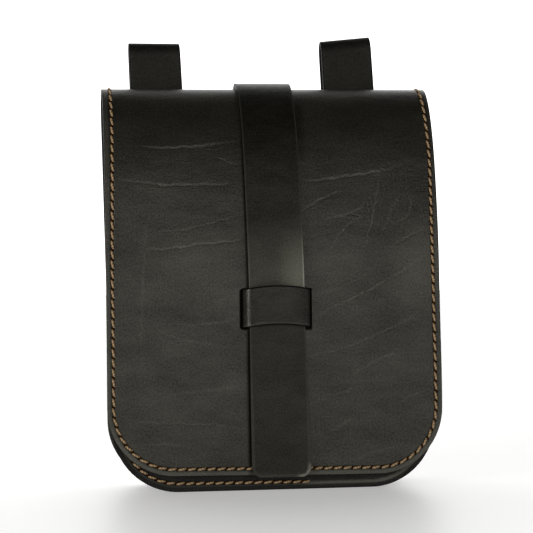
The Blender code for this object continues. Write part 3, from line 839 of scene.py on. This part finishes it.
# Gusset
# A channel of softer 2 mm leather makes both sides and the bottom. Its edges are folded outward into flanges,
# which are sewn to the back and the front panel, and it puckers a little where it turns the lower corners.
FLANGE_WIDTH = 0.0085
FLANGE_SETBACK = 0.0004
GUSSET_FOLD = 0.0026
GUSSET_PINCH = 0.0050
GUSSET_PINCH_SHARE = 0.5
PUCKER = 0.0007
PUCKERS = 7
GUSSET_EDGE_ROUND = 0.0004
GUSSET_TURNS = 9
FLANGE_COLUMNS = 5
SIDE_COLUMNS = 13
FRONT_FLANGE_LIFT = PANEL_LIFT - PANEL_LEATHER / 2 - SEAM_GAP - GUSSET_LEATHER / 2
BACK_FLANGE = -(SHEET_LEATHER / 2 + SEAM_GAP + GUSSET_LEATHER / 2)


def gusset_section():
    """Across the channel: inset from the outline, share of the depth and distance from that side."""
    turns = np.linspace(0.0, math.pi / 2, GUSSET_TURNS)
    fold = np.stack((FLANGE_WIDTH - GUSSET_FOLD * (1 - np.sin(turns)),
                     GUSSET_FOLD * (1 - np.cos(turns))), axis=1)
    reach = np.linspace(FLANGE_SETBACK, FLANGE_WIDTH - GUSSET_FOLD, FLANGE_COLUMNS)[:-1]
    flange = np.stack((reach, 0 * reach), axis=1)
    side = np.concatenate((flange, fold))
    zero = np.zeros((len(side), 1))
    middle = [(FLANGE_WIDTH, share, 0.0) for share in np.linspace(0.0, 1.0, SIDE_COLUMNS)[1:-1]]
    front = side[::-1]
    return np.concatenate((np.hstack((side[:, :1], zero, side[:, 1:])), middle,
                           np.hstack((front[:, :1], zero + 1.0, -front[:, 1:]))))


def body_outline():
    """The U of the body from mouth to mouth: x, row and the direction inward at each station."""
    turns = np.linspace(0.0, math.pi / 2, CORNER_STEPS + 1)
    rows = even_rows(MOUTH, BASE_END - CORNER, SHEET_STEP)[:-1]
    reach = BODY_WIDTH / 2 - CORNER
    side = np.stack((BODY_WIDTH / 2 + 0 * rows, rows, 0 * rows - 1.0, 0 * rows), axis=1)
    corner = np.stack((reach + CORNER * np.cos(turns), BASE_END - CORNER + CORNER * np.sin(turns),
                       -np.cos(turns), -np.sin(turns)), axis=1)
    half = np.concatenate((side, corner))
    feet = even_rows(-reach, reach, SHEET_STEP)[1:-1]
    foot = np.stack((feet, BASE_END + 0 * feet, 0 * feet, 0 * feet - 1.0), axis=1)
    return np.concatenate((half * (-1, 1, -1, 1), foot, half[::-1]))


SECTION = gusset_section()
STATIONS = body_outline()
SECTION_STEPS = np.hypot(np.diff(SECTION[:, 0]), np.diff(SECTION[:, 1] * DEPTH / 2 + SECTION[:, 2]))
SECTION_REACH = np.concatenate(([0.0], np.cumsum(SECTION_STEPS)))
STATION_REACH = path_of(STATIONS[:, :2])[1]


def on_gusset(across, along, lift):
    """Points of the channel, at a distance across its section and along the body's outline."""
    inset, share, depth = (np.interp(across, SECTION_REACH, SECTION[:, part]) for part in range(3))
    x, row, inward_x, inward_row = (np.interp(along, STATION_REACH, STATIONS[:, part]) for part in range(4))
    upper = np.maximum(0.0, 1 - (row - MOUTH) / ((BASE_END - MOUTH) * GUSSET_PINCH_SHARE))
    turning = 4 * inward_x ** 2 * inward_row ** 2
    puckers = PUCKER * turning * np.sin(PUCKERS * math.pi * np.arctan2(-inward_row, np.abs(inward_x)))
    inset = inset + (GUSSET_PINCH * upper ** 2 + puckers) * np.sin(math.pi * share)
    front = on_profile(x + inset * inward_x, row + inset * inward_row, FRONT_FLANGE_LIFT)
    back_y = BACK_PLANE + BACK_FLANGE
    y = back_y + (front[..., 1] - back_y) * share - depth + lift * np.where(share < 0.5, -1.0, 1.0)
    return np.stack((front[..., 0], y, front[..., 2]), axis=-1)


def shape_gusset(across, along):
    return on_gusset(across, along, 0.0), np.stack((across, along), axis=1)


# Softer and thinner leather: a finer grain and small clouds, nearly matt
gusset_leather = waxed_leather("soft_black_gusset_leather", "0A0A08", "1A1915", 0.50, 0.38, 0.8, 16)
gusset = leather_piece("gusset_leather", SECTION_REACH, STATION_REACH, shape_gusset,
                       (gusset_leather, FLESH, CUT_EDGE), flip=True)[0]
finish_piece(gusset, GUSSET_LEATHER, GUSSET_EDGE_ROUND)
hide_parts("gusset")
station_run = np.arange(PANEL_SEAM_INSET, STATION_REACH[-1] - PANEL_SEAM_INSET, SEAM_STEP)
for flange, across in (("back", PANEL_SEAM_INSET), ("front", SECTION_REACH[-1] - PANEL_SEAM_INSET)):
    flange_seam = np.stack((across + 0 * station_run, station_run), axis=1)
    sew("gusset_stitches_" + flange, flange_seam, on_gusset, GUSSET_LEATHER / 2)


# Closing strap
# A 30 mm strap of 3 mm harness leather, sewn to the back with a box of stitches. It runs over the top and
# down the flap through the keeper. Its edges are bevelled and dyed, and the right one lifts a little above
# the keeper, where a pale patch is painted on as a painted highlight.
STRAP_LEATHER = 0.0030
STRAP_CORNER = 0.0055
STRAP_SEWN_BELOW_RIDGE = 0.0620
STRAP_BOX = 0.0400
STRAP_SEAM_INSET = 0.0035
STRAP_EDGE_ROUND = 0.0012
STRAP_COLUMNS = 24
# How its right edge lifts, and where a pale painted highlight lies above the keeper and at the tip's corner
STRAP_CURL = 0.0013
CURL_START = -0.002
CURL_ROWS = (-0.045, -0.010)
CURL_END = (0.004, -0.002)
BEND_HIGHLIGHT = 0.26
BEND_HIGHLIGHT_RIGHT = 0.60
BEND_HIGHLIGHT_X = (-0.002, 0.0145)
BEND_HIGHLIGHT_ROWS = (0.042, 0.004)
BEND_HIGHLIGHT_END = (-0.004, 0.001)
TIP_HIGHLIGHT = 0.6
TIP_HIGHLIGHT_X = (0.007, 0.011)
TIP_HIGHLIGHT_START = 0.0085
TIP_HIGHLIGHT_FULL = 0.0055
TIP_HIGHLIGHT_BAND = (0.0016, 0.0011)
KEEPER_HEIGHT = 0.0207
KEEPER_ABOVE_BASE = 0.0975
STRAP_LIFT = SHEET_LEATHER / 2 + SEAM_GAP + STRAP_LEATHER / 2
STRAP_START = PROFILE[1][PROFILE_STEPS] + BACK_DROP - STRAP_SEWN_BELOW_RIDGE
KEEPER_MIDDLE = BASE_END - KEEPER_ABOVE_BASE


def on_strap(x, row, lift):
    above = row - (KEEPER_MIDDLE - KEEPER_HEIGHT / 2)
    along = smooth(above, *CURL_ROWS) * smooth(above, *CURL_END)
    curl = STRAP_CURL * smooth(x, CURL_START, STRAP_WIDTH / 2) * along
    return on_flap(x + strap_middle(row), row, STRAP_LIFT + lift + curl)


def strap_highlight_paint(flat):
    """How strong the painted highlight is: above the keeper, most at the right edge, and at the tip's corner.
    """
    from_edge = edge_distance(flat, STRAP_WIDTH + 2 * STRAP_FLARE, STRAP_END, STRAP_CORNER)
    above = KEEPER_MIDDLE - KEEPER_HEIGHT / 2 - flat[:, 1]
    bend = smooth(above, *BEND_HIGHLIGHT_ROWS) * smooth(above, *BEND_HIGHLIGHT_END)
    bend = bend * (BEND_HIGHLIGHT + BEND_HIGHLIGHT_RIGHT * smooth(flat[:, 0], *BEND_HIGHLIGHT_X))
    tip = smooth(flat[:, 0], *TIP_HIGHLIGHT_X) * smooth(from_edge, *TIP_HIGHLIGHT_BAND)
    tip = tip * TIP_HIGHLIGHT * smooth(flat[:, 1], STRAP_END - TIP_HIGHLIGHT_START, STRAP_END - TIP_HIGHLIGHT_FULL)
    return np.stack((np.maximum(bend, tip), from_edge), axis=1)


def shape_strap(share, row):
    beyond = np.maximum(row - STRAP_END, STRAP_START - row) + STRAP_CORNER
    half = STRAP_WIDTH / 2 + STRAP_FLARE * smooth(row, KEEPER_MIDDLE, STRAP_END - STRAP_CORNER)
    x = share * rounded(half, beyond, STRAP_CORNER)
    return on_strap(x, row, 0.0), np.stack((x, row), axis=1)


def seam_box(half, start, end):
    """A closed box of stitches across a strap, between two rows."""
    corners = ((-half, start), (half, start), (half, end), (-half, end), (-half, start))
    line = [np.linspace(first, second, 60)[:-1] for first, second in zip(corners, corners[1:])]
    return np.concatenate(line + [[corners[0]]])


strap_rows = np.concatenate((corner_rows(STRAP_START, STRAP_CORNER, -1)[::-2],
                             even_rows(STRAP_START + STRAP_CORNER, -FOLD_SPAN, SHEET_STEP)[1:],
                             even_rows(-FOLD_SPAN, FOLD_SPAN, FOLD_STEP)[1:],
                             even_rows(FOLD_SPAN, STRAP_END - STRAP_CORNER, SHEET_STEP / 2)[1:],
                             corner_rows(STRAP_END, STRAP_CORNER, 1)[2::2]))
strap_seam = seam_box(STRAP_WIDTH / 2 - STRAP_SEAM_INSET, STRAP_START + STRAP_SEAM_INSET,
                      STRAP_START + STRAP_BOX)
# Harness leather, rolled hard: smooth and dark, with a painted highlight as a pale line along its bevelled
# edges
strap_leather = waxed_leather("bevelled_black_harness_leather", "070705", "1C1B16", 0.34, 0.34, 0.8, 20,
                              pitch=seam_pitch(strap_seam), worn=True)
strap_shares = even_rows(-1.0, 1.0, 2 / STRAP_COLUMNS)
strap, strap_flat = leather_piece("closing_strap_leather", strap_shares, strap_rows, shape_strap,
                                  (strap_leather, FLESH, CUT_EDGE), flip=True)
add_map(strap.data, "Seam", along_and_across(strap_flat, strap_seam))
add_map(strap.data, "Wear", strap_highlight_paint(strap_flat))
finish_piece(strap, STRAP_LEATHER, STRAP_EDGE_ROUND)
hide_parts("closing_strap")
sew("closing_strap_stitches", strap_seam, on_strap, STRAP_LEATHER / 2)


# Strap keeper
# A short band of 2.4 mm strap leather bridges the strap. Its two legs go through roomy slots in the flap, and
# its feet are turned in and fixed behind it. It was moulded wet, so it is domed and its edges bow up.
KEEPER_PLAY = 0.0008
KEEPER_DOME = 0.0012
SLOT_PLAY = 0.0008
SLOT_ROUND = 0.0008
KEEPER_LIFT = 0.0004
KEEPER_BEND = 0.0034
KEEPER_BOW = 0.0017
FOOT_LENGTH = 0.0080
FOOT_BEND = 0.0018
SLOT_REACH = 0.0042
KEEPER_ROWS = 18
KEEPER_TURNS = 10
FOOT_SHARES = (1.0, 0.66, 0.33)
TOP_SHARES = (0.84, 0.68, 0.5, 0.34, 0.17)
KEEPER_TOP_LIFT = STRAP_LIFT + STRAP_LEATHER / 2 + KEEPER_LIFT + KEEPER_LEATHER / 2
KEEPER_FOOT_LIFT = -(SHEET_LEATHER / 2 + SEAM_GAP + KEEPER_LEATHER / 2)
KEEPER_HALF_SPAN = STRAP_WIDTH / 2 + KEEPER_PLAY + KEEPER_LEATHER / 2


def keeper_section():
    """The keeper across the strap, foot to foot: x and lift."""
    turns = np.linspace(0.0, math.pi / 2, KEEPER_TURNS)
    foot = [(KEEPER_HALF_SPAN - FOOT_BEND - FOOT_LENGTH * share, KEEPER_FOOT_LIFT) for share in FOOT_SHARES]
    lower = np.stack((KEEPER_HALF_SPAN - FOOT_BEND * (1 - np.sin(turns)),
                      KEEPER_FOOT_LIFT + FOOT_BEND * (1 - np.cos(turns))), axis=1)
    upper = np.stack((KEEPER_HALF_SPAN - KEEPER_BEND * (1 - np.cos(turns)),
                      KEEPER_TOP_LIFT - KEEPER_BEND * (1 - np.sin(turns))), axis=1)
    top = [((KEEPER_HALF_SPAN - KEEPER_BEND) * share, KEEPER_TOP_LIFT) for share in TOP_SHARES]
    half = np.concatenate((foot, lower, upper, top))
    return np.concatenate((half, [(0.0, KEEPER_TOP_LIFT)], half[::-1] * (-1, 1)))


KEEPER_PATH = path_of(keeper_section())


def shape_keeper(across, share):
    x, lift = beside(KEEPER_PATH, across, 0.0)
    rise = np.where(lift > 0, 1 - (x / KEEPER_HALF_SPAN) ** 2, 0.0)
    row = KEEPER_MIDDLE + share * KEEPER_HEIGHT / 2 - KEEPER_BOW * rise
    placed = on_flap(x + strap_middle(KEEPER_MIDDLE), row, lift + KEEPER_DOME * rise)
    return placed, np.stack((across, share * KEEPER_HEIGHT / 2), axis=1)


for side in (-1, 1):
    bpy.ops.object.select_all(action="DESELECT")
    lean = np.interp(KEEPER_MIDDLE, PROFILE[1], PROFILE[2][:, 0])
    x = strap_middle(KEEPER_MIDDLE) + side * (KEEPER_HALF_SPAN + SLOT_PLAY / 2)
    bpy.ops.mesh.primitive_cube_add(size=1.0, location=on_flap(x, KEEPER_MIDDLE, 0.0),
                                    rotation=(math.asin(lean), 0.0, 0.0))
    slot_cutter = bpy.context.object
    slot_cutter.scale = (KEEPER_LEATHER + 2 * SEAM_GAP + SLOT_PLAY, SHEET_LEATHER + 2 * SLOT_REACH,
                         KEEPER_HEIGHT + 2 * SEAM_GAP)
    bpy.ops.object.transform_apply(location=False, rotation=False, scale=True)
    slot_end = slot_cutter.modifiers.new("rounded_slot", "BEVEL")
    slot_end.width = SLOT_ROUND
    slot_end.segments = 3
    bpy.ops.object.modifier_apply(modifier=slot_end.name)
    cut = sheet.modifiers.new("keeper_slot", "BOOLEAN")
    cut.operation = "DIFFERENCE"
    cut.object = slot_cutter
    bpy.ops.object.select_all(action="DESELECT")
    bpy.context.view_layer.objects.active = sheet
    bpy.ops.object.modifier_apply(modifier=cut.name)
    bpy.data.objects.remove(slot_cutter, do_unlink=True)

# Moulded wet over a block: close grain and the shiniest wax, with a bright streak along its left shoulder
keeper_leather = waxed_leather("moulded_black_keeper_leather", "080806", "1A1914", 0.22, 0.36, 0.8, 14,
                               worn=True)
keeper_shares = even_rows(-1.0, 1.0, 2 / KEEPER_ROWS)
keeper, keeper_flat = leather_piece("strap_keeper_leather", KEEPER_PATH[1], keeper_shares, shape_keeper,
                                    (keeper_leather, FLESH, CUT_EDGE))
# A faint pale line is painted along the keeper's lower edge, as a painted highlight
above_foot = KEEPER_HEIGHT / 2 - keeper_flat[:, 1]
add_map(keeper.data, "Wear", np.stack((0 * above_foot, above_foot), axis=1))
finish_piece(keeper, KEEPER_LEATHER)
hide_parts("strap_keeper")


# Belt loops
# Each is a strip of 2.5 mm leather, folded over into an open loop for the belt. Its two ends lie on each
# other on the back panel and are sewn through with a box of stitches. The two stand a little differently.
LOOP_LEATHER = 0.0025
LOOP_DEPTH = 0.0105
LOOP_SEAM_END_BELOW_RIDGE = 0.0780
LOOP_SEAM_START_BELOW_RIDGE = 0.0530
LOOP_JOGGLE = 0.0160
LOOP_WIDTH = 0.0298
LOOP_TOP_WIDTH = 0.0286
LOOP_SEAM_INSET = 0.0035
LOOP_COLUMNS = 16
LOOP_STEP = 0.004
LOOP_TURNS = 25
JOGGLE_STEPS = 15
# name, side, inset of its middle from the flap's edge, rise, lean of its sides and slope of its top
LOOPS = (
    ("left", -1, 0.0319, 0.0284, -0.040, -0.005),
    ("right", 1, 0.0389, 0.0314, -0.052, 0.100),
)
seam_start = HEIGHT - LOOP_SEAM_START_BELOW_RIDGE


def loop_section():
    """A belt loop from the side: up against the back panel, folded over, down and sewn to itself."""
    near = SHEET_LEATHER / 2 + SEAM_GAP + LOOP_LEATHER / 2
    sewn = near + LOOP_LEATHER + SEAM_GAP
    radius = (LOOP_DEPTH - LOOP_LEATHER) / 2
    seam_end = HEIGHT - LOOP_SEAM_END_BELOW_RIDGE
    centre = HEIGHT - LOOP_LEATHER / 2 - radius
    straight = seam_start + LOOP_JOGGLE
    rising = even_rows(seam_end, centre, LOOP_STEP)[:-1]
    turns = np.linspace(0.0, math.pi, LOOP_TURNS)
    shares = np.linspace(0.0, 1.0, JOGGLE_STEPS)
    falling = even_rows(centre, straight, LOOP_STEP)[1:-1]
    sewn_rows = even_rows(seam_start, seam_end, LOOP_STEP)[1:]
    return np.concatenate((
        np.stack((near + 0 * rising, rising), axis=1),
        np.stack((near + radius * (1 - np.cos(turns)), centre + radius * np.sin(turns)), axis=1),
        np.stack((near + 2 * radius + 0 * falling, falling), axis=1),
        np.stack((sewn + (near + 2 * radius - sewn) * (1 + np.cos(math.pi * shares)) / 2,
                  straight - LOOP_JOGGLE * shares), axis=1),
        np.stack((sewn + 0 * sewn_rows, sewn_rows), axis=1)))


LOOP_PATH = path_of(loop_section())
LOOP_END = LOOP_PATH[1][-1]
SEWN_LENGTH = LOOP_SEAM_END_BELOW_RIDGE - LOOP_SEAM_START_BELOW_RIDGE
loop_seam = seam_box(LOOP_WIDTH / 2 - LOOP_SEAM_INSET, LOOP_END - SEWN_LENGTH + LOOP_SEAM_INSET / 2,
                     LOOP_END - LOOP_SEAM_INSET)
# Plain strap leather, little handled: matt and even
loop_leather = waxed_leather("black_belt_loop_leather", "0A0A08", "161512", 0.50, 0.30, 0.8, 18,
                             pitch=seam_pitch(loop_seam))
for name, side, inset, rise, lean, slope in LOOPS:
    middle = side * (FLAP_WIDTH / 2 - inset)

    def on_loop(x, along, lift):
        y, z = beside(LOOP_PATH, along, -lift)
        up = np.maximum(z - seam_start, 0.0) / LOOP_SEAM_START_BELOW_RIDGE
        x = x * (1 + (LOOP_TOP_WIDTH / LOOP_WIDTH - 1) * np.minimum(up, 1.0))
        z = z + up * (rise + slope * x)
        return np.stack((middle + x + lean * (z - HEIGHT), BACK_PLANE + y, z), axis=-1)

    def shape_loop(share, along):
        x = share * LOOP_WIDTH / 2
        return on_loop(x, along, 0.0), np.stack((x, along), axis=1)

    loop, loop_flat = leather_piece("belt_loop_leather_" + name, even_rows(-1.0, 1.0, 2 / LOOP_COLUMNS),
                                    LOOP_PATH[1], shape_loop, (loop_leather, FLESH, CUT_EDGE))
    add_map(loop.data, "Seam", along_and_across(loop_flat, loop_seam))
    finish_piece(loop, LOOP_LEATHER)
    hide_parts("belt_loop_" + name)
    sew("belt_loop_stitches_" + name, loop_seam, on_loop, LOOP_LEATHER / 2)

bpy.data.objects.remove(STITCH, do_unlink=True)
